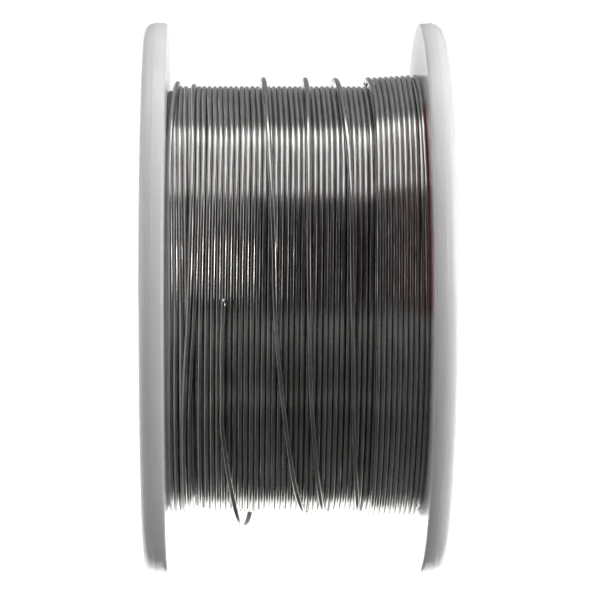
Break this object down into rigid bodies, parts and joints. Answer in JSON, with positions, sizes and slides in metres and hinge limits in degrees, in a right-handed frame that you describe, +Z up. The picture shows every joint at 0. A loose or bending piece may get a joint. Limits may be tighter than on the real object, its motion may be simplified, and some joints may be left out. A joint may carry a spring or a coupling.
{
  "type": "solder wire spool",
  "caption": "Small white plastic spool wound with fine solder wire, with loose turns and a hanging free end on top and a red and white paper face label.",
  "frame": {"origin": "centre of the bore, midway between the flanges", "axes": "+X along the spool's axis towards the labelled flange, +Z up as the spool stands on its two rims"},
  "size_m": [0.0276, 0.0514, 0.0514],
  "materials": {
    "spool_plastic": "milky white moulded plastic, slightly translucent, semi-gloss",
    "solder": "bright drawn solder alloy, grey with long highlights",
    "label_paper": "coated printed paper, white with a broad red band"
  },
  "bodies": {
    "root": {"spool_half_left": "spool_plastic", "spool_half_right": "spool_plastic", "face_label": "label_paper", "wire_winding": "solder", "wire_raised_turns": "solder", "wire_loose_turns": "solder", "wire_start_end": "solder"}
  },
  "joints": []
}
